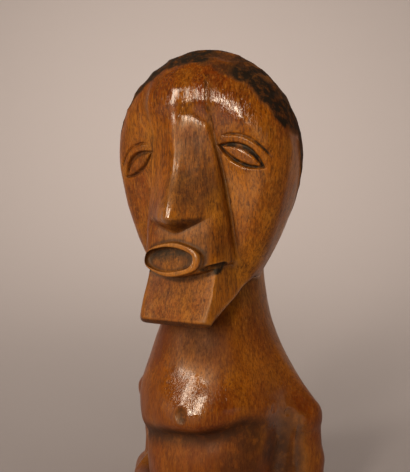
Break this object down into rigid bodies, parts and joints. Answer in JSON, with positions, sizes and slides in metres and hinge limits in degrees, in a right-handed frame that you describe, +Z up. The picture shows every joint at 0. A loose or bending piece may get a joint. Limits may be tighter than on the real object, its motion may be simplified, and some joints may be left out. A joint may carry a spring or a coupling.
{
  "type": "songye figure",
  "caption": "Carved hardwood figure shown as a bust: long-nosed egg-shaped head, ring mouth, square jutting chin, long neck, chest and bent arms, cut flat below.",
  "frame": {"origin": "middle of the flat underside", "axes": "+Z up through the neck and head; the face looks along -Y; +X is the figure's own left side"},
  "size_m": [0.1028, 0.0781, 0.2059],
  "materials": {
    "hardwood": "hand-polished, glossy orange-brown, with dark open pores and black-brown stain on the hair and in the hollows"
  },
  "bodies": {
    "root": {"figure": "hardwood"}
  },
  "joints": []
}
